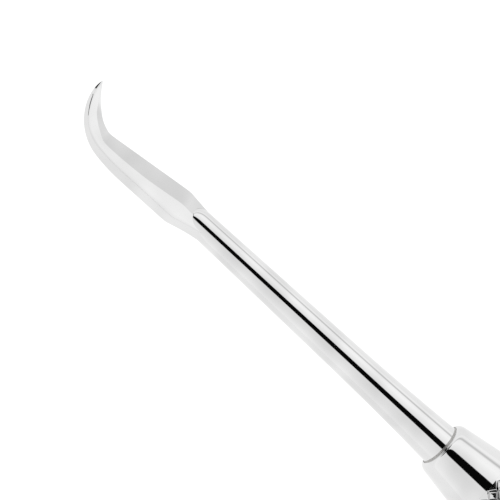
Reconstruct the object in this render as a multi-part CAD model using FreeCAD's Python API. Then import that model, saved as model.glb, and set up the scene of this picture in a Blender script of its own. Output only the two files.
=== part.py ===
import FreeCAD, Part
import math
import os

# Dental elevator of the root-pick kind: a forged and polished working end (hooked blade, round shank, tang)
# brazed into a hollow stainless handle (nose, knurled grip shell, rear cap).
#
# Frame: millimetres. The tool lies along X with its tip at -X and its rear cap at +X. The hook bends
# towards +Y, +Z is up. The origin is the middle of the bounding box's underside, so the tool's axis
# runs along X at the height of the grip's greatest radius.
#
# Pieces are first made round the X axis with the handle's mouth at x = 0, then moved to their place.

# ---- blade and hook
SHOULDER_FROM_MOUTH = 41.5     # mouth of the handle to the blade's widest place
BLADE_STRAIGHT = 11.35         # shoulder to the start of the hook
SHOULDER_INNER = 1.93          # inner edge, on the hook's side, out from the axis
SHOULDER_OUTER = 2.57          # back edge, out from the axis
HEEL_OUTER = 2.65              # back edge where it is deepest, just before the hook
HEEL_LENGTH = 4.0              # from the start of the hook to that place
BLADE_THICKNESS = 3.2          # across the two ridges at the shoulder
FACET_SHARE = 0.42             # place of the line between the two inner facets, from the inner edge
FACET_RISE = 0.7               # height of that line against the ridge's
RIDGE_SHARE = 0.8              # place of the ridge across the blade, near its back
THINNING = 1.0                 # power by which the thickness follows the width towards the tip

HOOK_CENTRE_Y = 3.38           # centre of the hook's bend, out from the axis
HOOK_RADIUS = 2.73             # inner edge of the bend, where it is nearest the centre
HOOK_ROOT_EASE = 0.15          # further out than that at the root of the hook
HOOK_ROOT_WIDTH = 2.91         # back of the bend beyond HOOK_RADIUS, at the root of the hook
HOOK_WAIST_WIDTH = 2.03        # same, where the back is nearest the centre
HOOK_TIP_WIDTH = 2.05          # same, at the tip
HOOK_WAIST_ANGLE = 72.0        # angle of the waist
HOOK_SWEEP = 103.2             # turn from the straight blade to the tip
RUNOUT_ANGLE = 21.0            # angle at which the inner edge starts to run out to the tip
RUNOUT_POWER = 3               # power of that run-out
TIP_BLUNT = 0.16               # width left at the very tip
HOOK_SECTIONS = 10             # sections that the bend's first quarter turn is drawn through

# ---- neck and shank
NECK_LENGTH = 3.6              # shoulder to the round shank
NECK_DIA = 3.2                 # shank at the neck
WAIST_DIA = 3.96               # shank where its flare to the handle starts
FLARE_LENGTH = 16.5            # length of that flare
ROOT_DIA = 5.2                 # shank where it enters the handle
NECK_INSET = 0.03              # the blade's edges meet the round this far inside its surface
SHANK_CONE = 1.6               # length of the cone that ends the shank inside the blade

# ---- tang, keyed by two flats
TANG_DIA = 4.0
TANG_FLAT = 0.3                # depth of each flat
MOUTH_DEPTH = 1.5              # counterbore that the shank's root sits in
TANG_RECESS = 0.5              # the tang ends this far inside the boss
BRAZE_GAP = 0.03               # radial gap of every brazed joint

# ---- nose of the handle
NOSE_LENGTH = 6.55
NOSE_ANGLE = 9.3               # slope of the cone, in degrees
LIP_LENGTH = 0.9               # rounded lip of the mouth, along the axis
LIP_HEIGHT = 0.75              # same, across
LIP_CREST = 0.05               # the lip's curve aims at the cone this far behind the mouth
SPIGOT_LENGTH = 6.0
BOSS_LENGTH = 7.0              # behind the spigot, round the rest of the tang
BOSS_WALL = 1.0
SHELL_FRONT_WALL = 0.76        # shell's wall over the spigot

# ---- braze fillet in the mouth
FILLET_WIDTH = 0.15
FILLET_FRONT = 0.2             # its thin edge on the shank, ahead of the mouth
FILLET_DEPTH = 0.5             # how far it reaches into the mouth
FILLET_DISH = 0.05             # its sloping face is hollow by this much

# ---- grip shell
SWELL_LENGTH = 30.95           # nose to the full diameter
GRIP_DIA = 15.0                # greatest diameter, over the crests of the knurl
BAND_LENGTH = 18.0             # length at the greatest diameter
TAPER_LENGTH = 28.0            # band to the rear cap
CAP_DIA = 13.2                 # at the rear cap's joint
SHELL_WALL = 0.9
HUB_RUNOUT = 4.0               # length over which the cavity opens beside each spigot

# ---- rear cap
CAP_LENGTH = 13.6
CAP_SPIGOT_LENGTH = 5.0
CAP_WALL = 1.6                 # between the cap's bore and its spigot
CAP_BORE_DEPTH = 9.0           # from the spigot's end

# ---- solder rings in the spigots' grooves
RING_WIDTH = 0.8
RING_DEPTH = 0.5
RING_PLAY = 0.02               # between a ring and its groove

# ---- worked out from the above
grip_r = GRIP_DIA / 2
nose_rear_x = NOSE_LENGTH
band_front_x = nose_rear_x + SWELL_LENGTH
band_rear_x = band_front_x + BAND_LENGTH
cap_x = band_rear_x + TAPER_LENGTH
rear_x = cap_x + CAP_LENGTH
spigot_end_x = nose_rear_x + SPIGOT_LENGTH
boss_end_x = spigot_end_x + BOSS_LENGTH
tang_end_x = boss_end_x - TANG_RECESS

root_r = ROOT_DIA / 2
tang_r = TANG_DIA / 2
mouth_r = root_r + FILLET_WIDTH
lip_r = mouth_r + LIP_HEIGHT
nose_slope = math.tan(math.radians(NOSE_ANGLE))
nose_rear_r = lip_r + nose_slope * (NOSE_LENGTH - LIP_LENGTH)
spigot_r = nose_rear_r - SHELL_FRONT_WALL
boss_r = tang_r + BRAZE_GAP + BOSS_WALL
cap_r = CAP_DIA / 2
cap_spigot_r = cap_r - SHELL_WALL

shoulder_x = -SHOULDER_FROM_MOUTH
neck_x = shoulder_x + NECK_LENGTH
hook_x = shoulder_x - BLADE_STRAIGHT


def vec(x, y, z=0.0):
    return FreeCAD.Vector(x, y, z)


def line(start, end):
    return Part.LineSegment(start, end).toShape()


def bezier(*poles):
    curve = Part.BezierCurve()
    curve.setPoles(list(poles))
    return curve.toShape()


def revolve(edges):
    """Turn a closed outline in the XY plane, on the +Y side of the axis, into a solid round X."""
    face = Part.Face(Part.Wire(edges))
    return face.revolve(vec(0, 0), vec(1, 0), 360)


def turned(points):
    """Solid of revolution from straight runs between (x, radius) points."""
    corners = [vec(x, r) for x, r in points]
    closed = corners[1:] + corners[:1]
    return revolve([line(a, b) for a, b in zip(corners, closed)])


def tube(inner_r, outer_r, start_x, end_x):
    return turned([(start_x, inner_r), (start_x, outer_r), (end_x, outer_r), (end_x, inner_r)])


# ---------------------------------------------------------------- working end

def hook_inner(angle):
    """Inner edge's distance from the centre of the bend."""
    ease = HOOK_ROOT_EASE * max(0.0, 1 - angle / RUNOUT_ANGLE) ** 2
    past = max(0.0, angle - RUNOUT_ANGLE) / (HOOK_SWEEP - RUNOUT_ANGLE)
    return HOOK_RADIUS + ease + (HOOK_TIP_WIDTH - TIP_BLUNT) * past ** RUNOUT_POWER


def hook_outer(angle):
    """Back's distance from the centre of the bend."""
    if angle < HOOK_WAIST_ANGLE:
        end = HOOK_ROOT_WIDTH
        share = 1 - angle / HOOK_WAIST_ANGLE
    else:
        end = HOOK_TIP_WIDTH
        share = (angle - HOOK_WAIST_ANGLE) / (HOOK_SWEEP - HOOK_WAIST_ANGLE)
    return HOOK_RADIUS + HOOK_WAIST_WIDTH + (end - HOOK_WAIST_WIDTH) * share ** 2


def blade_wire(inner, outer, place):
    """Six-sided section: inner edge, facet line, ridge, back, and the two lines again underneath."""
    width = outer - inner
    shoulder_width = SHOULDER_INNER + SHOULDER_OUTER
    ridge_z = BLADE_THICKNESS / 2 * (width / shoulder_width) ** THINNING
    facet_z = ridge_z * FACET_RISE
    facet = inner + FACET_SHARE * width
    ridge = inner + RIDGE_SHARE * width
    corners = [(inner, 0), (facet, facet_z), (ridge, ridge_z), (outer, 0), (ridge, -ridge_z), (facet, -facet_z)]
    points = [place(out, z) for out, z in corners]
    return Part.makePolygon(points + points[:1])


def hook_wire(angle):
    """Section on the ray that leaves the bend's centre at this angle from the straight blade."""
    turn = math.radians(angle)

    def place(out, z):
        return vec(hook_x - out * math.sin(turn), HOOK_CENTRE_Y - out * math.cos(turn), z)
    return blade_wire(hook_inner(angle), hook_outer(angle), place)


def straight_wire(x, inner_y, outer_y):
    """Section across the straight blade."""
    def place(out, z):
        return vec(x, -out, z)
    return blade_wire(-inner_y, outer_y, place)


def blade():
    """Blade from its shoulder through the hook to the tip: two inner facets, a ridge and a steep back."""
    root_inner = HOOK_CENTRE_Y - hook_inner(0)
    heel_x = hook_x + HEEL_LENGTH
    heel_inner = root_inner + (SHOULDER_INNER - root_inner) * HEEL_LENGTH / BLADE_STRAIGHT
    sections = [straight_wire(shoulder_x, SHOULDER_INNER, SHOULDER_OUTER)]
    sections.append(straight_wire(heel_x, heel_inner, HEEL_OUTER))
    for step in range(HOOK_SECTIONS):
        sections.append(hook_wire(90 * step / (HOOK_SECTIONS - 1)))
    sections.append(hook_wire(HOOK_SWEEP))
    return Part.makeLoft(sections, True, True)


def neck():
    """Run-out of the blade's facets into the round shank."""
    neck_r = NECK_DIA / 2 - NECK_INSET
    buried_r = neck_r - NECK_INSET
    sections = [straight_wire(shoulder_x, SHOULDER_INNER, SHOULDER_OUTER)]
    sections.append(straight_wire(neck_x, neck_r, neck_r))
    sections.append(straight_wire(neck_x + SHANK_CONE, buried_r, buried_r))
    return Part.makeLoft(sections, True, True)


def shank():
    """Round shank with its flare, and the root that stands in the handle's mouth."""
    neck_r = NECK_DIA / 2
    waist_r = WAIST_DIA / 2
    flare_x = -FLARE_LENGTH
    slope = (waist_r - neck_r) / (flare_x - neck_x)
    flare_mid = vec(flare_x / 2, waist_r + slope * FLARE_LENGTH / 2)
    cone_x = neck_x - SHANK_CONE
    edges = [
        line(vec(cone_x, 0), vec(cone_x, neck_r / 2)),
        line(vec(cone_x, neck_r / 2), vec(neck_x, neck_r)),
        line(vec(neck_x, neck_r), vec(flare_x, waist_r)),
        bezier(vec(flare_x, waist_r), flare_mid, vec(0, root_r)),
        line(vec(0, root_r), vec(MOUTH_DEPTH, root_r)),
        line(vec(MOUTH_DEPTH, root_r), vec(MOUTH_DEPTH, 0)),
        line(vec(MOUTH_DEPTH, 0), vec(cone_x, 0)),
    ]
    return revolve(edges)


def keyed_bar(radius, start_x, end_x):
    """Round bar with two flats, above and below, in the tang's proportions."""
    bar = tube(0, radius, start_x, end_x)
    height = 2 * (radius - TANG_FLAT)
    slab = Part.makeBox(end_x - start_x, 2 * radius, height, vec(start_x, -radius, -height / 2))
    return bar.common(slab)


def working_end():
    tang = keyed_bar(tang_r, MOUTH_DEPTH, tang_end_x)
    return blade().fuse([neck(), shank(), tang]).removeSplitter()


# ---------------------------------------------------------------- handle

def braze_fillet():
    """Ring of braze between the shank's root and the mouth, with a hollow face that slopes on to the shank."""
    front = vec(-FILLET_FRONT, root_r)
    rim = vec(0, mouth_r)
    dish = (front + rim) / 2 + vec(FILLET_DISH, -FILLET_DISH)
    edges = [
        bezier(front, dish, rim),
        line(rim, vec(FILLET_DEPTH, mouth_r)),
        line(vec(FILLET_DEPTH, mouth_r), vec(FILLET_DEPTH, root_r)),
        line(vec(FILLET_DEPTH, root_r), front),
    ]
    return revolve(edges)


def ring_groove(spigot_radius, start_x, length):
    """Groove for a solder ring, half way along a spigot, as (inner radius, start, end)."""
    middle = start_x + length / 2
    return spigot_radius - RING_DEPTH, middle - RING_WIDTH / 2, middle + RING_WIDTH / 2


def solder_ring(spigot_radius, start_x, length):
    """Ring that fills the spigot's groove."""
    floor_r, groove_start, groove_end = ring_groove(spigot_radius, start_x, length)
    return tube(floor_r + RING_PLAY, spigot_radius, groove_start + RING_PLAY, groove_end - RING_PLAY)


def cut_ring_groove(piece, spigot_radius, start_x, length):
    floor_r, groove_start, groove_end = ring_groove(spigot_radius, start_x, length)
    return piece.cut(tube(floor_r, spigot_radius + RING_DEPTH, groove_start, groove_end))


def nose_ferrule():
    """Cone with a rounded lip, the spigot for the shell, and the boss and keyed bore for the tang."""
    edges = [
        line(vec(0, 0), vec(0, mouth_r)),
        bezier(vec(0, mouth_r), vec(LIP_CREST, lip_r - nose_slope * (LIP_LENGTH - LIP_CREST)), vec(LIP_LENGTH, lip_r)),
        line(vec(LIP_LENGTH, lip_r), vec(nose_rear_x, nose_rear_r)),
        line(vec(nose_rear_x, nose_rear_r), vec(nose_rear_x, spigot_r)),
        line(vec(nose_rear_x, spigot_r), vec(spigot_end_x, spigot_r)),
        line(vec(spigot_end_x, spigot_r), vec(spigot_end_x, boss_r)),
        line(vec(spigot_end_x, boss_r), vec(boss_end_x, boss_r)),
        line(vec(boss_end_x, boss_r), vec(boss_end_x, 0)),
        line(vec(boss_end_x, 0), vec(0, 0)),
    ]
    body = cut_ring_groove(revolve(edges), spigot_r, nose_rear_x, SPIGOT_LENGTH)
    recess = tube(0, mouth_r, 0, FILLET_DEPTH)
    counterbore = tube(0, root_r + BRAZE_GAP, 0, MOUTH_DEPTH)
    bore = keyed_bar(tang_r + BRAZE_GAP, 0, boss_end_x)
    return body.cut(recess.fuse([counterbore, bore]))


def shell_curves(inset):
    """Swell, band and taper of the grip, moved in by the inset, as a list of edges from front to rear."""
    front = vec(nose_rear_x, nose_rear_r - inset)
    swell_end = vec(band_front_x, grip_r - inset)
    band_end = vec(band_rear_x, grip_r - inset)
    taper_end = vec(cap_x, cap_r - inset)
    third = SWELL_LENGTH / 3
    return [
        bezier(front, front + vec(third, third * nose_slope), swell_end - vec(third, 0), swell_end),
        line(swell_end, band_end),
        bezier(band_end, band_end + vec(TAPER_LENGTH / 2, 0), taper_end),
    ]


def shell_solid(inset):
    front = vec(nose_rear_x, 0)
    rear = vec(cap_x, 0)
    ends = [line(front, vec(nose_rear_x, nose_rear_r - inset)), line(vec(cap_x, cap_r - inset), rear)]
    return revolve([ends[0]] + shell_curves(inset) + [ends[1], line(rear, front)])


def grip_shell():
    """Hollow shell, thick round the two spigots and thin between them."""
    bore_r = spigot_r + BRAZE_GAP
    seat_r = cap_spigot_r + BRAZE_GAP
    seat_x = cap_x - CAP_SPIGOT_LENGTH
    front_rim = [(spigot_end_x, 0), (spigot_end_x, bore_r), (spigot_end_x + HUB_RUNOUT, grip_r)]
    rear_rim = [(seat_x - HUB_RUNOUT, grip_r), (seat_x, seat_r), (seat_x, 0)]
    cavity = shell_solid(SHELL_WALL).common(turned(front_rim + rear_rim))
    bore = tube(0, bore_r, nose_rear_x, spigot_end_x)
    seat = tube(0, seat_r, seat_x, cap_x)
    return shell_solid(0).cut(cavity.fuse([bore, seat]))


def rear_cap():
    """Domed plug that closes the shell, bored out to keep the tool's balance near the grip's band."""
    dome_start = vec(cap_x, cap_r)
    dome_end = vec(rear_x, 0)
    fall = 2 * (grip_r - cap_r) / TAPER_LENGTH
    reach = CAP_LENGTH / 2
    spigot_x = cap_x - CAP_SPIGOT_LENGTH
    outline = [
        bezier(dome_start, dome_start + vec(reach, -fall * reach), dome_end + vec(0, cap_r * 2 / 3), dome_end),
        line(dome_end, vec(spigot_x, 0)),
        line(vec(spigot_x, 0), vec(spigot_x, cap_spigot_r)),
        line(vec(spigot_x, cap_spigot_r), vec(cap_x, cap_spigot_r)),
        line(vec(cap_x, cap_spigot_r), dome_start),
    ]
    body = cut_ring_groove(revolve(outline), cap_spigot_r, spigot_x, CAP_SPIGOT_LENGTH)
    return body.cut(tube(0, cap_spigot_r - CAP_WALL, spigot_x, spigot_x + CAP_BORE_DEPTH))


def main():
    pieces = {
        "working_end": working_end(),
        "braze_fillet": braze_fillet(),
        "nose_ferrule": nose_ferrule(),
        "nose_solder_ring": solder_ring(spigot_r, nose_rear_x, SPIGOT_LENGTH),
        "grip_shell": grip_shell(),
        "cap_solder_ring": solder_ring(cap_spigot_r, cap_x - CAP_SPIGOT_LENGTH, CAP_SPIGOT_LENGTH),
        "rear_cap": rear_cap(),
    }
    front_x = hook_x - hook_outer(90)
    to_place = vec(-(front_x + rear_x) / 2, 0, grip_r)
    os.makedirs("parts", exist_ok=True)
    for name, shape in pieces.items():
        shape.translate(to_place)
        shape.exportStep("parts/" + name + ".step")
        print(name, len(shape.Solids), shape.isValid(), round(shape.Volume, 2), shape.BoundBox)


main()
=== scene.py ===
import logging
import math
from dataclasses import dataclass
from enum import Enum
from typing import Callable

import bmesh
import bpy
from mathutils import Matrix, Vector


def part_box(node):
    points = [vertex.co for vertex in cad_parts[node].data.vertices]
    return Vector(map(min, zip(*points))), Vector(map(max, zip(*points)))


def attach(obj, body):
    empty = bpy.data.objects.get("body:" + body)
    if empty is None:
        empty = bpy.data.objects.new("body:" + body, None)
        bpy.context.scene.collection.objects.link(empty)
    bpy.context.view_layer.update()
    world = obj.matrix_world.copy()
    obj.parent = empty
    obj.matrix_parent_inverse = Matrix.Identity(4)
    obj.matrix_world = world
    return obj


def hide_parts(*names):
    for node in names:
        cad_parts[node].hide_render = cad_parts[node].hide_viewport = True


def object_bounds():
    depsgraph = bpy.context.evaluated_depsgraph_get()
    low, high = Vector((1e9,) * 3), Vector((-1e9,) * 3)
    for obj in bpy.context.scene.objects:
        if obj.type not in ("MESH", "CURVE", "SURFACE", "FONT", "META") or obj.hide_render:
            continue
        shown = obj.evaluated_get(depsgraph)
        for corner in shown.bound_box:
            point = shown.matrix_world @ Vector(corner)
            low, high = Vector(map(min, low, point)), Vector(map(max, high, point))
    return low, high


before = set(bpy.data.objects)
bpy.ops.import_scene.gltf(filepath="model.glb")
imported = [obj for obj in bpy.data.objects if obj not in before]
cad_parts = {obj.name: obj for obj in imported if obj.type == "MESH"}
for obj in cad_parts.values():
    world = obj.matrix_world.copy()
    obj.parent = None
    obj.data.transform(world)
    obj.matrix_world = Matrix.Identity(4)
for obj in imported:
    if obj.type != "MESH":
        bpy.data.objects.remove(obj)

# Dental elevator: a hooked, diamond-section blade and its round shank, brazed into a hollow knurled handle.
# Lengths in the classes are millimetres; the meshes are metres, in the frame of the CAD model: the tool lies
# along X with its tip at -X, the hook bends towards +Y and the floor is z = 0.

LOG = logging.getLogger("elevator")
MM = 0.001
ROUND_STEPS = 96  # facets round the axis on turned pieces
WELD = 0.002 * MM  # vertices closer than this are merged
SAME_PLACE = 0.01 * MM  # places closer than this along the axis are one
ROUND_SLACK = 1.01  # a vertex belongs to a circle up to this share of its radius
SHARP_ANGLE = math.radians(24)  # edges that turn more than this stay sharp
NORMAL_WEIGHT = 80  # how far large faces lead the shading
TINT_SPREAD = (0.35, 0.65)  # noise values at which a finish is fully dark and fully light

CAD_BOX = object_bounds()
SHELL_LOW, SHELL_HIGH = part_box("grip_shell")
AXIS_Z = (SHELL_LOW.z + SHELL_HIGH.z) / 2
MOUTH_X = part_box("nose_ferrule")[0].x

Socket = bpy.types.NodeSocket
Tree = bpy.types.NodeTree
Material = bpy.types.Material
Piece = bpy.types.Object
Edge = bmesh.types.BMEdge
Profile = list[tuple[float, float]]
Test = Callable[..., bool]


class Slot(Enum):
    """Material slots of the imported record."""

    BLADE = "blade_steel"
    HANDLE = "handle_steel"
    KNURL = "knurled_steel"
    BRAZE = "silver_braze"


# ---- modelling steps

def deselect_all() -> None:
    """Leave nothing selected, in object mode."""
    if bpy.context.object and bpy.context.object.mode != "OBJECT":
        bpy.ops.object.mode_set(mode="OBJECT")
    bpy.ops.object.select_all(action="DESELECT")


def place(x: float, radius: float) -> Vector:
    """Point of an outline, from millimetres behind the mouth and out from the axis.

    Args:
        x: distance behind the handle's mouth.
        radius: distance from the axis, towards +Y.

    Returns:
        The point in the frame, in metres.
    """
    return Vector((MOUTH_X + x * MM, radius * MM, AXIS_Z))


def bow(poles: Profile, steps: int) -> Profile:
    """Smooth curve of an outline, drawn from its first pole to its last and pulled towards those between.

    Args:
        poles: the curve's poles.
        steps: how many points to give.

    Returns:
        The points after the first pole.
    """
    degree = len(poles) - 1
    points = []
    for i in range(1, steps + 1):
        t = i / steps
        pulls = [math.comb(degree, k) * (1 - t) ** (degree - k) * t ** k for k in range(degree + 1)]
        points.append((sum(w * x for w, (x, _) in zip(pulls, poles)),
                       sum(w * r for w, (_, r) in zip(pulls, poles))))
    return points


class Bench:
    """One mesh under edit, shaped by edit-mode operators on what is selected."""

    def __init__(self, name: str) -> None:
        """Take the active object, which a primitive has just made.

        Args:
            name: the piece's name.
        """
        self.piece = bpy.context.object
        self.piece.name = name
        self.piece.data.name = name
        bpy.ops.object.transform_apply(location=True, rotation=True, scale=True)
        bpy.ops.object.mode_set(mode="EDIT")
        bpy.ops.mesh.select_mode(type="VERT")

    @property
    def mesh(self) -> bmesh.types.BMesh:
        """Edit mesh, with its lookup tables fresh."""
        data = bmesh.from_edit_mesh(self.piece.data)
        data.verts.ensure_lookup_table()
        data.edges.ensure_lookup_table()
        data.faces.ensure_lookup_table()
        return data

    def select(self, verts: Test | None = None, edges: Test | None = None, faces: Test | None = None) -> None:
        """Select only what passes the one test that is given.

        Args:
            verts: test on a vertex.
            edges: test on an edge.
            faces: test on a face.
        """
        kind = "VERT" if verts else "EDGE" if edges else "FACE"
        bpy.ops.mesh.select_mode(type=kind)
        bpy.ops.mesh.select_all(action="DESELECT")
        data = self.mesh
        chosen = {"VERT": data.verts, "EDGE": data.edges, "FACE": data.faces}[kind]
        test = verts or edges or faces
        for element in chosen:
            if test(element):
                element.select_set(True)
        data.select_flush_mode()
        bmesh.update_edit_mesh(self.piece.data)

    def put(self, indices: list[int], targets: list[Vector]) -> None:
        """Move single vertices to their places.

        Args:
            indices: the vertices.
            targets: a place for each.
        """
        for index, target in zip(indices, targets):
            start = self.mesh.verts[index].co.copy()
            self.select(verts=lambda v, i=index: v.index == i)
            bpy.ops.transform.translate(value=target - start)

    def draw_out(self, ring: list[int], step: Vector) -> list[int]:
        """Extrude the end face whose corners are given.

        Args:
            ring: its vertices, in order.
            step: how far to draw it out.

        Returns:
            The new face's vertices, in the same order.
        """
        places = [self.mesh.verts[i].co + step for i in ring]
        corners = set(ring)
        self.select(faces=lambda f: {v.index for v in f.verts} == corners)
        bpy.ops.mesh.extrude_region_move(TRANSFORM_OT_translate={"value": step})
        fresh = [v for v in self.mesh.verts if v.select]
        return [min(fresh, key=lambda v, p=point: (v.co - p).length).index for point in places]

    def weld(self) -> None:
        """Merge doubles, then turn every face outwards."""
        bpy.ops.mesh.select_mode(type="VERT")
        bpy.ops.mesh.select_all(action="SELECT")
        bpy.ops.mesh.remove_doubles(threshold=WELD)
        bpy.ops.mesh.normals_make_consistent(inside=False)

    def modify(self, kind: str, **settings: object) -> None:
        """Add a modifier with these settings and apply it.

        Args:
            kind: Blender's type of modifier.
            settings: its properties.
        """
        self.leave()
        modifier = self.piece.modifiers.new(kind.lower(), kind)
        for key, value in settings.items():
            setattr(modifier, key, value)
        bpy.ops.object.modifier_apply(modifier=modifier.name)

    def leave(self) -> None:
        """Back to object mode with only this piece selected and active."""
        deselect_all()
        self.piece.select_set(True)
        bpy.context.view_layer.objects.active = self.piece

    def edit(self) -> None:
        """Edit mode on this piece."""
        self.leave()
        bpy.ops.object.mode_set(mode="EDIT")

    def flatten(self, radius: float, depth: float, beyond: float = -math.inf) -> None:
        """Press two flats, above and below, into a round surface about the axis.

        Args:
            radius: the surface's radius, in millimetres.
            depth: how deep each flat goes.
            beyond: only what lies further back than this, in metres, is pressed.
        """
        level = (radius - depth) * MM
        for side in (1, -1):
            self.select(verts=lambda v, s=side: v.co.x > beyond and s * (v.co.z - AXIS_Z) > level
                        and math.hypot(v.co.y, v.co.z - AXIS_Z) < radius * MM * ROUND_SLACK)
            bpy.ops.transform.resize(value=(1, 1, 0), center_override=(0, 0, AXIS_Z + side * level))

    def finish(self) -> Piece:
        """Smooth the surface up to its sharp edges.

        Returns:
            The finished piece.
        """
        self.leave()
        bpy.ops.object.shade_smooth_by_angle(angle=SHARP_ANGLE)
        self.modify("WEIGHTED_NORMAL", mode="FACE_AREA", weight=NORMAL_WEIGHT, keep_sharp=True)
        return self.piece


def turned(name: str, outline: Profile, closed: bool) -> Bench:
    """Turn an outline round the tool's axis, as on a lathe.

    Args:
        name: the piece's name.
        outline: (millimetres behind the mouth, radius) points in order.
        closed: whether the last point joins the first, as it does on a ring.

    Returns:
        The bench, in edit mode, with a closed skin.
    """
    deselect_all()
    points = [place(x, r) for x, r in outline]
    if closed:
        points.append(points[0])
    bpy.ops.mesh.primitive_plane_add(size=MM, location=points[0])
    bench = Bench(name)
    bpy.ops.mesh.select_all(action="SELECT")
    bpy.ops.mesh.merge(type="CENTER")
    for before, after in zip(points, points[1:]):
        bpy.ops.mesh.extrude_region_move(TRANSFORM_OT_translate={"value": after - before})
    bpy.ops.mesh.select_all(action="SELECT")
    bpy.ops.mesh.spin(steps=ROUND_STEPS, angle=math.tau, center=(0, 0, AXIS_Z), axis=(1, 0, 0),
                      use_auto_merge=False)
    bench.weld()
    return bench


# ---- finishes

def linear(code: str) -> tuple[float, float, float, float]:
    """Linear colour of an sRGB hex code.

    Args:
        code: six hex digits after a hash.

    Returns:
        Red, green, blue and full alpha.
    """
    parts = [int(code[i:i + 2], 16) / 255 for i in (1, 3, 5)]
    channels = [p / 12.92 if p <= 0.04045 else ((p + 0.055) / 1.055) ** 2.4 for p in parts]
    return channels[0], channels[1], channels[2], 1.0


def add_node(tree: Tree, kind: str, settings: dict | None = None, values: dict | None = None,
             links: dict | None = None) -> bpy.types.Node:
    """Add a node.

    Args:
        tree: the node tree.
        kind: the node's type.
        settings: its properties.
        values: constants for its inputs, by name or number.
        links: output sockets for its inputs, by name or number.

    Returns:
        The node.
    """
    node = tree.nodes.new(kind)
    for key, value in (settings or {}).items():
        setattr(node, key, value)
    for key, value in (values or {}).items():
        node.inputs[key].default_value = value
    for key, socket in (links or {}).items():
        tree.links.new(socket, node.inputs[key])
    return node


def ramp(tree: Tree, source: Socket, stops: list) -> Socket:
    """Colour ramp over a value.

    Args:
        tree: the node tree.
        source: value that is looked up.
        stops: (position, linear grey or colour) pairs in order.

    Returns:
        The colour socket.
    """
    node = add_node(tree, "ShaderNodeValToRGB", links={"Fac": source})
    elements = node.color_ramp.elements
    while len(elements) < len(stops):
        elements.new(0.5)
    for element, (position, value) in zip(elements, stops):
        element.position = position
        element.color = value if isinstance(value, tuple) else (value, value, value, 1.0)
    return node.outputs["Color"]


def start_metal(name: str) -> tuple[Material, bpy.types.Node, Socket]:
    """Begin a metal.

    Args:
        name: the material's name.

    Returns:
        The material, its shader and the piece's own coordinates.
    """
    material = bpy.data.materials.new(name)
    material.use_nodes = True
    shader = material.node_tree.nodes["Principled BSDF"]
    shader.inputs["Metallic"].default_value = 1.0
    where = add_node(material.node_tree, "ShaderNodeTexCoord").outputs["Object"]
    return material, shader, where


def noise(tree: Tree, where: Socket, size: float, detail: float) -> Socket:
    """Add noise of a real size.

    Args:
        tree: the node tree.
        where: coordinates in metres.
        size: the pattern's size, in millimetres.
        detail: how many finer layers it has.

    Returns:
        The noise's value.
    """
    return add_node(tree, "ShaderNodeTexNoise", values={"Scale": 1 / (size * MM), "Detail": detail},
                    links={"Vector": where}).outputs["Fac"]


@dataclass(frozen=True)
class PolishedSteel:
    """Mirror-polished stainless steel: hard grey reflections, a faint haze and hairlines along the tool.

    The hairlines of the last felt bob are some 0.02 mm apart, too fine to show, so they are drawn five times
    as coarse; the slow swell left by hand polishing is a few millimetres long and bends long reflections.
    """

    name: str
    light: str = "#DCDCDC"
    dark: str = "#D3D3D3"
    roughness: float = 0.035
    haze: float = 0.03
    hairline_mm: float = 0.1
    hairline_lift_mm: float = 0.0001
    hairline_range: tuple = (0.4, 0.75)
    # a hairline is twenty-five times as long as it is wide, along the tool as the bob runs
    hairline_squeeze: float = 0.04
    swell_mm: float = 4.0
    swell_lift_mm: float = 0.0012

    def build(self) -> Material:
        """Make the material.

        Returns:
            The material.
        """
        material, shader, where = start_metal(self.name)
        tree = material.node_tree
        along = add_node(tree, "ShaderNodeMapping", values={"Scale": (self.hairline_squeeze, 1.0, 1.0)},
                         links={"Vector": where})
        hairs = noise(tree, along.outputs["Vector"], self.hairline_mm, detail=2.0)
        swell = noise(tree, where, self.swell_mm, detail=1.0)
        tint = ramp(tree, swell, list(zip(TINT_SPREAD, (linear(self.dark), linear(self.light)))))
        tree.links.new(tint, shader.inputs["Base Color"])
        gloss = add_node(tree, "ShaderNodeMapRange", links={"Value": hairs}, values={
            "From Min": self.hairline_range[0], "From Max": self.hairline_range[1],
            "To Min": self.roughness, "To Max": self.roughness + self.haze})
        tree.links.new(gloss.outputs["Result"], shader.inputs["Roughness"])
        lift = add_node(tree, "ShaderNodeBump", values={"Distance": self.swell_lift_mm * MM},
                        links={"Height": swell})
        lines = add_node(tree, "ShaderNodeBump", values={"Distance": self.hairline_lift_mm * MM},
                         links={"Height": hairs, "Normal": lift.outputs["Normal"]})
        tree.links.new(lines.outputs["Normal"], shader.inputs["Normal"])
        return material


@dataclass(frozen=True)
class SilverBraze:
    """Silver braze as it froze: a paler satin grey than the steel, with a faint grain and a warm cast."""

    name: str = "silver_braze_frozen"
    light: str = "#B2B1AF"
    dark: str = "#939290"
    roughness: float = 0.34
    grain_mm: float = 0.15
    grain_lift_mm: float = 0.004

    def build(self) -> Material:
        """Make the material.

        Returns:
            The material.
        """
        material, shader, where = start_metal(self.name)
        tree = material.node_tree
        shader.inputs["Roughness"].default_value = self.roughness
        grain = noise(tree, where, self.grain_mm, detail=3.0)
        tint = ramp(tree, grain, list(zip(TINT_SPREAD, (linear(self.dark), linear(self.light)))))
        tree.links.new(tint, shader.inputs["Base Color"])
        lift = add_node(tree, "ShaderNodeBump", values={"Distance": self.grain_lift_mm * MM},
                        links={"Height": grain})
        tree.links.new(lift.outputs["Normal"], shader.inputs["Normal"])
        return material


def dress(piece: Piece, material: Material) -> None:
    """Give a piece its only material.

    Args:
        piece: the piece.
        material: its finish.
    """
    piece.data.materials.clear()
    piece.data.materials.append(material)


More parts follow.
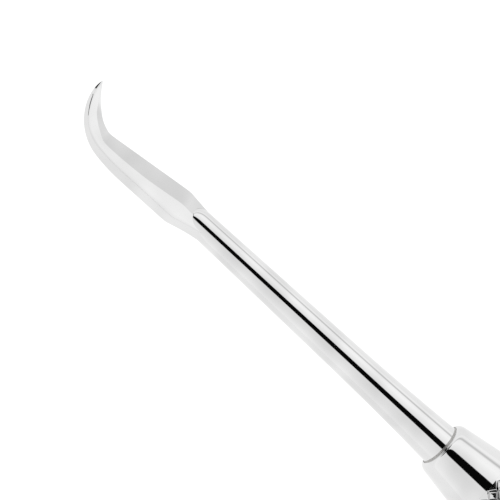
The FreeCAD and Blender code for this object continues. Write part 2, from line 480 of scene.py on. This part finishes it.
def stand_for(piece: Piece, node: str, material: Material) -> Piece:
    """Dress a finished piece and let it ride with the tool and stand for its plain CAD node.

    Args:
        piece: the finished piece.
        node: the CAD node.
        material: its finish.

    Returns:
        The piece.
    """
    dress(piece, material)
    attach(piece, "root")
    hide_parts(node)
    LOG.info("%s: %d faces, for %s", piece.name, len(piece.data.polygons), node)
    return piece


# ---- working end

@dataclass
class WorkingEnd:
    """Blade, shank and tang, one forging, in millimetres. Distances run back from the handle's mouth."""

    shoulder: float = 41.5
    straight: float = 11.35
    shoulder_inner: float = 1.93
    shoulder_outer: float = 2.57
    heel_outer: float = 2.65
    heel_length: float = 4.0
    hook_centre: float = 3.38
    hook_radius: float = 2.73
    root_ease: float = 0.15
    root_width: float = 2.91
    waist_width: float = 2.03
    tip_width: float = 2.05
    waist_angle: float = 72.0
    sweep: float = 103.2
    runout_angle: float = 21.0
    runout_power: int = 3
    tip_blunt: float = 0.1
    # place along the blade (-1 shoulder, 0 root of the hook, 1 tip), then the shares of its width, from the
    # inner edge, at which the line between the two inner facets and the ridge lie
    facets: tuple = ((-1.5, 0.58, 0.72), (-1.25, 0.48, 0.80), (-1.0, 0.41, 0.86), (-0.55, 0.49, 0.82),
                     (0.0, 0.47, 0.79), (0.13, 0.37, 0.82), (0.3, 0.33, 0.85), (0.5, 0.33, 0.83),
                     (0.67, 0.25, 0.78), (1.0, 0.2, 0.7))
    inner_slope: float = 33.7
    upper_slope: float = 15.5
    inner_neck: float = 3.1
    outer_neck: float = 4.4
    shank_start: float = 1.3
    shank_full: float = 3.1
    neck_radius: float = 1.6
    waist_radius: float = 1.98
    root_radius: float = 2.6
    flare: float = 16.5
    mouth_depth: float = 1.5
    tang_radius: float = 2.0
    tang_flat: float = 0.3
    tang_end: float = 19.05
    # the two flanks swell out of the round at their own pace, like the curve a wheel leaves
    neck_stations: tuple = (4.4, 3.9, 3.4, 2.9, 2.4, 1.8, 1.2, 0.6)
    inner_power: float = 1.2
    outer_power: float = 1.35
    buried_depth: float = 0.1
    buried_length: float = 1.5
    straight_stations: int = 10
    hook_step: int = 8
    shank_dome: float = 0.94
    dome_stations: int = 10
    bar_stations: int = 12
    # edges of the blank that turn more than crease_turn stay crisp in its smoothing; on the smoothed blade,
    # facet_turn to ridge_turn is the line between the inner facets and more than that is a ridge
    crease_turn: float = math.radians(5)
    along_gap: int = 5
    facet_turn: float = math.radians(9)
    ridge_turn: float = math.radians(40)
    ridge_height: float = 0.01
    # rounding of the ridge from each angle of the bend on
    ridge_round: tuple = ((-90.0, 0.07), (-10.0, 0.24), (22.0, 0.08), (55.0, 0.11), (72.0, 0.14),
                          (92.0, 0.09), (97.0, 0.05), (101.0, 0.02))

    def hook_edges(self, angle: float) -> tuple[float, float]:
        """Inner edge and back of the hook, out from the centre of its bend.

        Args:
            angle: turn from the straight blade, in degrees.

        Returns:
            The two distances.
        """
        ease = self.root_ease * max(0.0, 1 - angle / self.runout_angle) ** 2
        past = max(0.0, angle - self.runout_angle) / (self.sweep - self.runout_angle)
        inner = ease + (self.tip_width - self.tip_blunt) * past ** self.runout_power
        if angle < self.waist_angle:
            end, share = self.root_width, 1 - angle / self.waist_angle
        else:
            end, share = self.tip_width, (angle - self.waist_angle) / (self.sweep - self.waist_angle)
        back = self.waist_width + (end - self.waist_width) * share ** 2
        return self.hook_radius + inner, self.hook_radius + back

    def shares(self, along: float) -> tuple[float, float]:
        """Shares of the width at which the facet line and the ridge lie.

        Args:
            along: place along the blade, as in facets.

        Returns:
            The two shares.
        """
        for before, after in zip(self.facets, self.facets[1:]):
            if along <= after[0]:
                break
        step = min(1.0, max(0.0, (along - before[0]) / (after[0] - before[0])))
        return before[1] + (after[1] - before[1]) * step, before[2] + (after[2] - before[2]) * step

    def corners(self, inner: float, outer: float, along: float) -> Profile:
        """Corners of a section, as (distance outwards, height) pairs round it.

        Args:
            inner: the inner edge's distance.
            outer: the back's distance.
            along: place along the blade, as in facets.

        Returns:
            Inner edge, upper facet line and ridge, back, lower ridge and facet line.
        """
        width = outer - inner
        line, ridge = self.shares(along)
        low = math.tan(math.radians(self.inner_slope)) * line * width
        high = low + math.tan(math.radians(self.upper_slope)) * (ridge - line) * width
        a, b = inner + line * width, inner + ridge * width
        return [(inner, 0), (a, low), (b, high), (outer, 0), (b, -high), (a, -low)]

    def on_hook(self, angle: float) -> list[Vector]:
        """Section on a ray from the bend's centre.

        Args:
            angle: turn from the straight blade, in degrees.

        Returns:
            Its corners in the frame.
        """
        turn = math.radians(angle)
        inner, outer = self.hook_edges(angle)
        x, y = -self.shoulder - self.straight, self.hook_centre
        return [place(x - out * math.sin(turn), y - out * math.cos(turn)) + Vector((0, 0, up * MM))
                for out, up in self.corners(inner, outer, angle / self.sweep)]

    def across(self, x: float, inner: float, outer: float) -> list[Vector]:
        """Section across the straight blade.

        Args:
            x: distance behind the mouth.
            inner: the inner edge's distance from the axis.
            outer: the back's distance from the axis.

        Returns:
            Its corners in the frame.
        """
        along = (x + self.shoulder + self.straight) / -self.straight
        return [place(x, -out) + Vector((0, 0, up * MM)) for out, up in self.corners(-inner, outer, along)]

    def sections(self) -> list[list[Vector]]:
        """All sections, from inside the shank to the tip.

        Returns:
            Six points for each section.
        """
        shoulder = -self.shoulder
        buried = self.neck_radius - self.buried_depth
        rings = [self.across(shoulder + self.outer_neck + self.buried_length, buried, buried)]
        for behind in self.neck_stations:
            inner = max(0.0, 1 - behind / self.inner_neck) ** self.inner_power
            outer = (1 - behind / self.outer_neck) ** self.outer_power
            rings.append(self.across(shoulder + behind,
                                     self.neck_radius + inner * (self.shoulder_inner - self.neck_radius),
                                     self.neck_radius + outer * (self.shoulder_outer - self.neck_radius)))
        root_inner = self.hook_centre - self.hook_edges(0)[0]
        root_outer = self.hook_radius + self.root_width - self.hook_centre
        for step in range(self.straight_stations):
            run = self.straight * step / self.straight_stations
            inner = self.shoulder_inner + (root_inner - self.shoulder_inner) * run / self.straight
            left = self.straight - run
            if left > self.heel_length:
                share = (left - self.heel_length) / (self.straight - self.heel_length)
                outer = self.heel_outer + (self.shoulder_outer - self.heel_outer) * share
            else:
                outer = self.heel_outer - (self.heel_outer - root_outer) * (1 - left / self.heel_length) ** 2
            rings.append(self.across(shoulder - run, inner, outer))
        rings += [self.on_hook(angle) for angle in range(0, int(self.sweep), self.hook_step)]
        rings.append(self.on_hook(self.sweep))
        return rings

    def forge_blade(self) -> Bench:
        """Draw a six-sided blank through all sections, then smooth its length and ease its ridges.

        Returns:
            The bench with the closed blade.
        """
        rings = self.sections()
        deselect_all()
        corners = len(rings[0])
        bpy.ops.mesh.primitive_circle_add(vertices=corners, radius=MM, fill_type="NGON",
                                          location=sum(rings[0], Vector()) / corners,
                                          rotation=(0, math.pi / 2, 0))
        bench = Bench("blade_blank")
        ring = [v.index for v in bench.mesh.verts]
        bench.put(ring, rings[0])
        for before, after in zip(rings, rings[1:]):
            ring = bench.draw_out(ring, (after[0] + after[3] - before[0] - before[3]) / 2)
            bench.put(ring, after)
        bench.weld()
        bench.select(edges=lambda e: len(e.link_faces) == 2 and all(len(f.verts) == 4 for f in e.link_faces)
                     and e.calc_face_angle(0) > self.crease_turn and self.runs_along(e))
        bpy.ops.transform.edge_crease(value=1.0)
        bench.modify("SUBSURF", levels=2, render_levels=2)
        bench.edit()
        self.ease_edges(bench)
        bench.weld()
        return bench

    def bend_angle(self, edge: Edge) -> float:
        """Place of an edge's middle along the bend.

        Args:
            edge: the edge.

        Returns:
            Its angle round the bend's centre, in degrees, below zero on the straight blade.
        """
        centre = place(-self.shoulder - self.straight, self.hook_centre)
        away = centre - (edge.verts[0].co + edge.verts[1].co) / 2
        return math.degrees(math.atan2(away.x, away.y))

    def ease_edges(self, bench: Bench) -> None:
        """Round the ridges, widest at the heel, and keep the line between the two inner facets crisp.

        Args:
            bench: the smoothed blade.
        """
        widest = max(width for _, width in self.ridge_round)
        ends = [angle for angle, _ in self.ridge_round[1:]] + [math.inf]
        for (start, width), end in zip(self.ridge_round, ends):
            bench.select(edges=lambda e, low=start, high=end: self.on_ridge(e)
                         and low <= self.bend_angle(e) < high)
            bpy.ops.transform.edge_bevelweight(value=width / widest)
        bench.select(edges=lambda e: self.facet_turn < e.calc_face_angle(0) < self.ridge_turn)
        bpy.ops.mesh.mark_sharp()
        bench.modify("BEVEL", width=widest * MM, offset_type="OFFSET", segments=3, limit_method="WEIGHT",
                     use_clamp_overlap=False)
        bench.edit()

    def on_ridge(self, edge: Edge) -> bool:
        """Tell a ridge from the inner edge and the back, which lie level with the axis.

        Args:
            edge: an edge of the smoothed blade.

        Returns:
            Whether it is part of a ridge.
        """
        height = sum(abs(v.co.z - AXIS_Z) for v in edge.verts) / 2
        return edge.calc_face_angle(0) > self.ridge_turn and height > self.ridge_height * MM

    def runs_along(self, edge: Edge) -> bool:
        """Tell an edge that follows the blade from one round a section, by its ends' numbers.

        Args:
            edge: an edge of the blank.

        Returns:
            Whether it follows the blade.
        """
        return abs(edge.verts[0].index - edge.verts[1].index) >= self.along_gap

    def turn_shank(self) -> Bench:
        """Turn the shank with its flare, the root in the mouth and the tang, and cut the tang's flats.

        Returns:
            The bench with the closed bar.
        """
        neck = -self.shoulder + self.shank_full
        slope = (self.waist_radius - self.neck_radius) / (-self.flare - neck)
        aim = (-self.flare / 2, self.waist_radius + slope * self.flare / 2)
        outline = [(-self.shoulder + self.shank_start, 0.0)]
        outline += bow([outline[0], (outline[0][0], self.neck_radius * self.shank_dome),
                        (neck, self.neck_radius)], self.dome_stations)
        for step in range(1, self.bar_stations + 1):
            x = neck + (-self.flare - neck) * step / self.bar_stations
            outline.append((x, self.neck_radius + slope * (x - neck)))
        outline += bow([outline[-1], aim, (0.0, self.root_radius)], self.bar_stations)
        outline += [(self.mouth_depth, self.root_radius), (self.mouth_depth, self.tang_radius),
                    (self.tang_end, self.tang_radius), (self.tang_end, 0.0)]
        bench = turned("shank_blank", outline, closed=False)
        bench.flatten(self.tang_radius, self.tang_flat, place(self.mouth_depth, 0).x - SAME_PLACE)
        return bench

    def build(self, finish: Material) -> Piece:
        """Join the blade and the bar into the one forging and polish it.

        Args:
            finish: its material.

        Returns:
            The piece.
        """
        blade = self.forge_blade()
        blade.leave()
        shank = self.turn_shank()
        shank.modify("BOOLEAN", operation="UNION", object=blade.piece, solver="EXACT")
        bpy.data.objects.remove(blade.piece)
        shank.piece.name = "forged_blade_and_shank"
        return stand_for(shank.finish(), "working_end", finish)


# ---- handle

@dataclass
class BrazeFillet:
    """Ring of braze between the shank's root and the handle's mouth, in millimetres behind the mouth."""

    front: float = -0.2
    rim: float = 0.03
    back: float = 0.5
    inner_radius: float = 2.59
    outer_radius: float = 2.72
    dish: float = 0.03
    stations: int = 8

    def build(self, finish: Material) -> Piece:
        """Turn the ring with its hollow face.

        Args:
            finish: its material.

        Returns:
            The piece.
        """
        low = ((self.front + self.rim) / 2 + self.dish,
               (self.inner_radius + self.outer_radius) / 2 - self.dish)
        face = [(self.front, self.inner_radius)]
        face += bow([face[0], low, (self.rim, self.outer_radius)], self.stations)
        behind = [(self.back, self.outer_radius), (self.back, self.inner_radius)]
        bench = turned("braze_fillet_ring", face + behind, closed=True)
        return stand_for(bench.finish(), "braze_fillet", finish)


def ring_groove(groove: tuple[float, float, float], radius: float) -> Profile:
    """Outline of the groove that a solder ring sits in.

    Args:
        groove: where it starts and ends, in millimetres behind the mouth, and its depth.
        radius: the spigot's radius.

    Returns:
        Its four corners.
    """
    start, end, depth = groove
    return [(start, radius), (start, radius - depth), (end, radius - depth), (end, radius)]


@dataclass
class NoseFerrule:
    """Cone at the front of the handle, with its lip, spigot, boss and keyed bore, in millimetres."""

    mouth_radius: float = 2.75
    lip_radius: float = 3.5
    lip_length: float = 0.9
    lip_crest: float = 0.04
    rear: float = 6.55
    rear_radius: float = 4.425
    recess: float = 0.5
    counterbore: tuple = (1.5, 2.63)
    spigot: tuple = (12.55, 3.665)
    groove: tuple = (9.15, 9.95, 0.5)
    boss: tuple = (19.55, 3.03)
    bore_radius: float = 2.03
    bore_flat: float = 0.3
    lip_stations: int = 14
    cone_stations: int = 8

    def build(self, finish: Material) -> Piece:
        """Turn the ferrule and flatten the two keys of its bore.

        Args:
            finish: its material.

        Returns:
            The piece.
        """
        slope = (self.rear_radius - self.lip_radius) / (self.rear - self.lip_length)
        crest = (self.lip_crest, self.lip_radius - slope * (self.lip_length - self.lip_crest))
        deep, wide = self.counterbore
        outline = [(0.0, self.mouth_radius)]
        outline += bow([outline[0], crest, (self.lip_length, self.lip_radius)], self.lip_stations)
        middle = ((self.lip_length + self.rear) / 2, (self.lip_radius + self.rear_radius) / 2)
        outline += bow([outline[-1], middle, (self.rear, self.rear_radius)], self.cone_stations)
        outline.append((self.rear, self.spigot[1]))
        outline += ring_groove(self.groove, self.spigot[1])
        outline += [self.spigot, (self.spigot[0], self.boss[1]), self.boss, (self.boss[0], self.bore_radius),
                    (deep, self.bore_radius), (deep, wide), (self.recess, wide),
                    (self.recess, self.mouth_radius)]
        bench = turned("nose_ferrule_cone", outline, closed=True)
        bench.flatten(self.bore_radius, self.bore_flat)
        return stand_for(bench.finish(), "nose_ferrule", finish)


@dataclass
class GripShell:
    """Hollow pear-shaped shell with rolled diamonds, in millimetres behind the mouth."""

    front: float = 6.55
    front_radius: float = 4.425
    front_slope: float = 0.1638
    swell: float = 30.95
    grip_radius: float = 7.5
    band: float = 18.0
    taper: float = 28.0
    cap_radius: float = 6.6
    around: int = 18
    groove_depth: float = 0.27
    groove_half: float = 0.15
    rise: float = 0.2
    edge: float = 0.03
    edge_rise: float = 0.02
    crown_inset: float = 0.3
    crown_rise: float = 0.03
    front_collar: float = 0.32
    rear_collar: float = 3.6
    proportion: float = 0.9
    wall: float = 0.9
    front_bore: tuple = (12.55, 3.695)
    rear_seat: tuple = (78.5, 5.73)
    # how the cavity opens behind the bore and closes before the seat, as lengths and heights
    front_step: tuple = (0.9, 0.86)
    rear_step: tuple = (0.7, 0.3)
    cavity_margins: tuple = (2.5, 1.5)
    cavity_pitch: float = 3.0
    rear_shares: tuple = (0.3, 0.65, 1.0)
    end_slack: float = 0.5
    # each collar edge is cut in four, and its quarter and half points lifted onto the round
    collar_cuts: int = 3
    collar_shares: tuple = (0.25, 0.5)
    share_slack: float = 0.08

    @property
    def end(self) -> float:
        """Where the shell meets the rear cap."""
        return self.front + self.swell + self.band + self.taper

    def radius(self, x: float) -> float:
        """Radius of the crests.

        Args:
            x: distance behind the mouth.

        Returns:
            The radius there.
        """
        swell_end = self.front + self.swell
        if x < swell_end:
            t = (x - self.front) / self.swell
            aim = self.front_radius + self.front_slope * self.swell / 3
            return ((1 - t) ** 3 * self.front_radius + 3 * (1 - t) ** 2 * t * aim
                    + (3 * (1 - t) * t * t + t ** 3) * self.grip_radius)
        past = max(0.0, x - swell_end - self.band) / self.taper
        return self.grip_radius - (self.grip_radius - self.cap_radius) * past * past

    @property
    def rows(self) -> list[float]:
        """Where the rings of groove crossings lie, spaced so that a diamond is nearly as long as it is wide.

        Returns:
            Their distances behind the mouth.
        """
        end = self.end - self.rear_collar
        rows = [self.front + self.front_collar]
        while rows[-1] < end:
            width = math.tau * (self.radius(rows[-1]) - self.groove_depth) / self.around
            rows.append(rows[-1] + width * self.proportion)
        squeeze = (end - rows[0]) / (rows[-1] - rows[0])
        return [rows[0] + (x - rows[0]) * squeeze for x in rows]

    def extend(self, step: float, scale: float) -> None:
        """Extrude the selected open ring along the axis and scale it about the axis.

        Args:
            step: how far, in millimetres.
            scale: the new ring's radius as a share of the old one's.
        """
        bpy.ops.mesh.extrude_region_move(TRANSFORM_OT_translate={"value": (step * MM, 0, 0)})
        bpy.ops.transform.resize(value=(1, scale, scale), center_override=(0, 0, AXIS_Z))

    def draw_tube(self) -> Bench:
        """Draw the open tube on which the diamonds are raised.

        Returns:
            The bench.
        """
        rows = self.rows
        behind = [rows[-1] + (self.end - rows[-1]) * share for share in self.rear_shares]
        stations = [self.front] + rows + behind
        sizes = [self.radius(x) - self.groove_depth for x in stations]
        deselect_all()
        bpy.ops.mesh.primitive_circle_add(vertices=self.around, radius=sizes[0] * MM, fill_type="NOTHING",
                                          location=place(self.front, 0), rotation=(0, math.pi / 2, 0))
        bench = Bench("knurled_grip_shell")
        bpy.ops.mesh.select_all(action="SELECT")
        for i in range(1, len(stations)):
            self.extend(stations[i] - stations[i - 1], sizes[i] / sizes[i - 1])
        side = bench.mesh.faces[0]
        middle = side.calc_center_median()
        if side.normal.dot(middle - Vector((middle.x, 0, AXIS_Z))) < 0:
            bpy.ops.mesh.select_all(action="SELECT")
            bpy.ops.mesh.flip_normals()
        return bench

    def raise_diamonds(self, bench: Bench) -> None:
        """Turn the tube's squares into diamonds and raise each of them out of its grooves.

        Args:
            bench: the tube.
        """
        first, last = place(self.rows[0], 0).x - SAME_PLACE, place(self.rows[-1], 0).x + SAME_PLACE
        bench.select(faces=lambda f: all(first < v.co.x < last for v in f.verts))
        bpy.ops.mesh.poke()
        bench.select(verts=lambda v: len(v.link_edges) == 4 and all(len(f.verts) == 3 for f in v.link_faces))
        bulge = 1 / math.cos(math.pi / self.around)
        bpy.ops.transform.resize(value=(1, bulge, bulge), center_override=(0, 0, AXIS_Z))
        bench.select(edges=lambda e: len(e.link_faces) == 2 and all(len(f.verts) == 3 for f in e.link_faces)
                     and all(len(v.link_edges) > 4 for v in e.verts))
        bpy.ops.mesh.dissolve_edges(use_verts=False)
        bench.select(faces=lambda f: len(f.verts) == 4 and all(first < v.co.x < last for v in f.verts))
        bpy.ops.mesh.inset(thickness=self.groove_half * MM, depth=self.rise * MM, use_individual=True)
        bpy.ops.mesh.inset(thickness=self.edge * MM, depth=self.edge_rise * MM, use_individual=True)
        bpy.ops.mesh.inset(thickness=self.crown_inset * MM, depth=self.crown_rise * MM, use_individual=True)
        bpy.ops.mesh.poke(offset=self.crown_rise * MM)

    def raise_collars(self, bench: Bench) -> None:
        """Raise the two plain collars with the half diamonds that point out of them, and round them.

        Args:
            bench: the tube.
        """
        first, last = place(self.rows[0], 0).x, place(self.rows[-1], 0).x

        def on_collar(face: bmesh.types.BMFace) -> bool:
            along = [v.co.x for v in face.verts]
            if max(along) < first + SAME_PLACE or min(along) > last - SAME_PLACE:
                return True
            return len(along) == 3 and any(sum(abs(x - base) < SAME_PLACE for x in along) == 2
                                           for base in (first, last))

        bench.select(faces=on_collar)
        bpy.ops.mesh.inset(thickness=self.groove_half * MM, depth=self.rise * MM, use_boundary=False)
        bpy.ops.mesh.inset(thickness=self.edge * MM, depth=self.edge_rise * MM, use_boundary=False)
        raised = {f.index for f in bench.mesh.faces if f.select}
        bench.select(edges=lambda e: any(f.index in raised for f in e.link_faces)
                     and abs(e.verts[0].co.x - e.verts[1].co.x) < SAME_PLACE
                     and (e.is_boundary or all(f.index in raised for f in e.link_faces)))
        bpy.ops.mesh.subdivide(number_cuts=self.collar_cuts)
        pitch = math.tau / self.around
        for share in self.collar_shares:
            reach = math.cos(pitch / 2) / math.cos(math.atan((1 - 2 * share) * math.tan(pitch / 2)))

            def between(v: bmesh.types.BMVert, wanted: float = share) -> bool:
                if first - SAME_PLACE < v.co.x < last + SAME_PLACE:
                    return False
                turn = math.atan2(v.co.z - AXIS_Z, v.co.y) / pitch % 1.0
                return abs(min(turn, 1 - turn) - wanted) < self.share_slack

            bench.select(verts=between)
            bpy.ops.transform.resize(value=(1, 1 / reach, 1 / reach), center_override=(0, 0, AXIS_Z))

    def close_inside(self, bench: Bench) -> None:
        """Set the open ends to their joints, then draw the bore, the cavity and the rear seat.

        Args:
            bench: the open shell.
        """
        for x, radius in ((self.front, self.front_radius), (self.end, self.cap_radius)):
            at = place(x, 0).x
            bench.select(verts=lambda v, a=at: v.is_boundary and abs(v.co.x - a) < self.end_slack * MM)
            bpy.ops.transform.resize(value=(0, 1, 1), center_override=(at, 0, AXIS_Z))
            chosen = [v.co for v in bench.mesh.verts if v.select]
            size = sum(math.hypot(co.y, co.z - AXIS_Z) for co in chosen) / len(chosen)
            grow = radius * MM / size
            bpy.ops.transform.resize(value=(1, grow, grow), center_override=(0, 0, AXIS_Z))
        front_at = place(self.front, 0).x
        bench.select(edges=lambda e: e.is_boundary
                     and all(abs(v.co.x - front_at) < SAME_PLACE for v in e.verts))
        bore_end, bore = self.front_bore
        seat_start, seat = self.rear_seat
        inside = [(self.front, bore), (bore_end, bore),
                  (bore_end + self.front_step[0], bore + self.front_step[1])]
        x = bore_end + self.cavity_margins[0]
        while x < seat_start - self.cavity_margins[1]:
            inside.append((x, self.radius(x) - self.wall - self.groove_depth / 2))
            x += self.cavity_pitch
        inside += [(seat_start - self.rear_step[0], seat + self.rear_step[1]), (seat_start, seat),
                   (self.end, seat)]
        before = (self.front, self.front_radius)
        for x, radius in inside:
            self.extend(x - before[0], radius / before[1])
            before = (x, radius)
        bench.select(edges=lambda e: e.is_boundary)
        bpy.ops.mesh.bridge_edge_loops()
        bench.weld()

    def build(self, finish: Material) -> Piece:
        """Draw the tube, roll the diamonds, close the inside and polish the crests.

        Args:
            finish: its material.

        Returns:
            The piece.
        """
        bench = self.draw_tube()
        self.raise_diamonds(bench)
        self.raise_collars(bench)
        self.close_inside(bench)
        return stand_for(bench.finish(), "grip_shell", finish)


@dataclass
class RearCap:
    """Domed plug at the back of the handle, in millimetres behind the mouth."""

    joint: float = 83.5
    rear: float = 97.1
    radius: float = 6.6
    fall: float = 0.0643
    spigot_length: float = 5.0
    spigot_radius: float = 5.7
    groove: tuple = (80.6, 81.4, 0.5)
    bore_end: float = 87.5
    bore_radius: float = 4.1
    dome_fullness: float = 2 / 3
    dome_stations: int = 28

    def dome(self) -> Profile:
        """Outline of the dome.

        Returns:
            Its points from the pole to the joint.
        """
        reach = (self.rear - self.joint) / 2
        pole = (self.rear, 0.0)
        return [pole] + bow([pole, (self.rear, self.radius * self.dome_fullness),
                             (self.joint + reach, self.radius - self.fall * reach),
                             (self.joint, self.radius)], self.dome_stations)

    def build(self, finish: Material) -> Piece:
        """Turn the cap with its spigot and bore.

        Args:
            finish: its material.

        Returns:
            The piece.
        """
        start = self.joint - self.spigot_length
        outline = self.dome() + [(self.joint, self.spigot_radius)]
        outline += reversed(ring_groove(self.groove, self.spigot_radius))
        outline += [(start, self.spigot_radius), (start, self.bore_radius), (self.bore_end, self.bore_radius),
                    (self.bore_end, 0.0)]
        bench = turned("rear_cap_dome", outline, closed=False)
        return stand_for(bench.finish(), "rear_cap", finish)


# ---- studio

@dataclass
class Studio:
    """White light tent over a white table, seen from above through the tent's dark slot.

    The tent is the same all along the tool, so its light is given round the X axis, in degrees from the
    camera's side, positive towards -Y. Levels are what polished steel shows of it, as grey codes.
    """

    steel_share: float = 0.7
    facing: float = 9.0
    tent: tuple = ((-180.0, "#E3E3E3"), (-136.0, "#E3E3E3"), (-89.0, "#ECECEC"), (-79.0, "#B6B6B6"),
                   (-71.0, "#EEEEEE"), (-55.0, "#F1F1F1"), (-27.0, "#E2E2E2"), (-21.3, "#DEDEDE"),
                   (-20.8, "#060606"), (7.1, "#060606"), (7.6, "#DBDBDB"), (20.0, "#DBDBDB"),
                   (55.0, "#E3E3E3"), (97.0, "#EFEFEF"), (120.0, "#EAEAEA"), (180.0, "#E3E3E3"))
    # the tent's dark opening beyond the tip, from its soft rim inwards, as X of a unit direction
    end_level: str = "#202020"
    end_start: float = -0.92
    end_full: float = -0.96
    table_level: str = "#E3E3E3"
    table_base: float = 0.02
    table_size: float = 1.2
    lens: float = 200.0
    sensor: float = 36.0
    camera_place: tuple = (-106.787, 1.641, 319.448)
    lean: float = 10.0
    roll: float = 42.8
    nearest: float = 0.01

    def light(self, code: str) -> float:
        """Level of light.

        Args:
            code: the grey at which polished steel shows it.

        Returns:
            The light itself.
        """
        return linear(code)[0] / self.steel_share

    def build_tent(self) -> None:
        """Give the world the tent's light."""
        world = bpy.data.worlds.new("light_tent")
        bpy.context.scene.world = world
        world.use_nodes = True
        tree = world.node_tree
        way = add_node(tree, "ShaderNodeTexCoord").outputs["Generated"]
        axes = add_node(tree, "ShaderNodeSeparateXYZ", links={"Vector": way})
        side = add_node(tree, "ShaderNodeMath", {"operation": "MULTIPLY"}, {1: -1.0}, {0: axes.outputs["Y"]})
        turn = add_node(tree, "ShaderNodeMath", {"operation": "ARCTAN2"},
                        links={0: side.outputs[0], 1: axes.outputs["Z"]})
        share = add_node(tree, "ShaderNodeMapRange", values={"From Min": -math.pi, "From Max": math.pi},
                         links={"Value": turn.outputs[0]})
        stops = [(min(1.0, (angle + self.facing + 180) / 360), self.light(code)) for angle, code in self.tent]
        walls = ramp(tree, share.outputs["Result"], stops)
        ends = add_node(tree, "ShaderNodeMapRange", links={"Value": axes.outputs["X"]},
                        values={"From Min": self.end_start, "From Max": self.end_full})
        opening = (self.light(self.end_level),) * 3 + (1.0,)
        whole = add_node(tree, "ShaderNodeMix", {"data_type": "RGBA"}, {"B": opening},
                         {"Factor": ends.outputs["Result"], "A": walls})
        tree.links.new(whole.outputs["Result"], tree.nodes["Background"].inputs["Color"])

    def build_table(self) -> None:
        """Put a lit white sheet under the tool."""
        deselect_all()
        bpy.ops.mesh.primitive_plane_add(size=self.table_size, location=(0, 0, CAD_BOX[0].z))
        table = bpy.context.object
        table.name = "white_table"
        material = bpy.data.materials.new("opal_acrylic_sheet_lit_from_below")
        material.use_nodes = True
        shader = material.node_tree.nodes["Principled BSDF"]
        shader.inputs["Base Color"].default_value = (self.table_base,) * 3 + (1.0,)
        shader.inputs["Roughness"].default_value = 1.0
        shader.inputs["Specular IOR Level"].default_value = 0.0
        shader.inputs["Emission Color"].default_value = (1.0, 1.0, 1.0, 1.0)
        shader.inputs["Emission Strength"].default_value = self.light(self.table_level)
        table.data.materials.append(material)

    def build_camera(self) -> None:
        """Aim the camera down at the blade, leaning along the tool and rolled."""
        lean, roll = math.radians(self.lean), math.radians(self.roll)
        right = Vector((math.cos(roll) * math.cos(lean), math.sin(roll), math.cos(roll) * math.sin(lean)))
        up = Vector((-math.sin(roll) * math.cos(lean), math.cos(roll), -math.sin(roll) * math.sin(lean)))
        back = right.cross(up)
        data = bpy.data.cameras.new("camera")
        data.lens = self.lens
        data.sensor_width = self.sensor
        data.clip_start = self.nearest
        camera = bpy.data.objects.new("camera", data)
        bpy.context.scene.collection.objects.link(camera)
        swing = Matrix.Rotation(math.radians(self.facing), 4, "X")
        axis = Matrix.Translation((0, 0, AXIS_Z))
        aim = Matrix((right, up, back)).transposed().to_4x4()
        stand = Matrix.Translation(Vector(self.camera_place) * MM) @ aim
        camera.matrix_world = axis @ swing @ axis.inverted() @ stand
        bpy.context.scene.camera = camera

    def build(self) -> None:
        """Build the tent, the table and the camera."""
        self.build_tent()
        self.build_table()
        self.build_camera()
        bpy.context.scene.view_settings.view_transform = "Standard"


def main() -> None:
    """Build the tool piece by piece, then the studio round it."""
    logging.basicConfig(level=logging.INFO, format="%(message)s")
    braze = SilverBraze().build()
    WorkingEnd().build(PolishedSteel("forged_steel_mirror_polished").build())
    BrazeFillet().build(braze)
    NoseFerrule().build(PolishedSteel("turned_steel_mirror_polished").build())
    GripShell().build(PolishedSteel("rolled_knurl_polished_steel", roughness=0.07).build())
    RearCap().build(PolishedSteel("domed_steel_mirror_polished").build())
    for node in ("nose_solder_ring", "cap_solder_ring"):
        dress(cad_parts[node], braze)
    Studio().build()


if __name__ == "__main__":
    main()
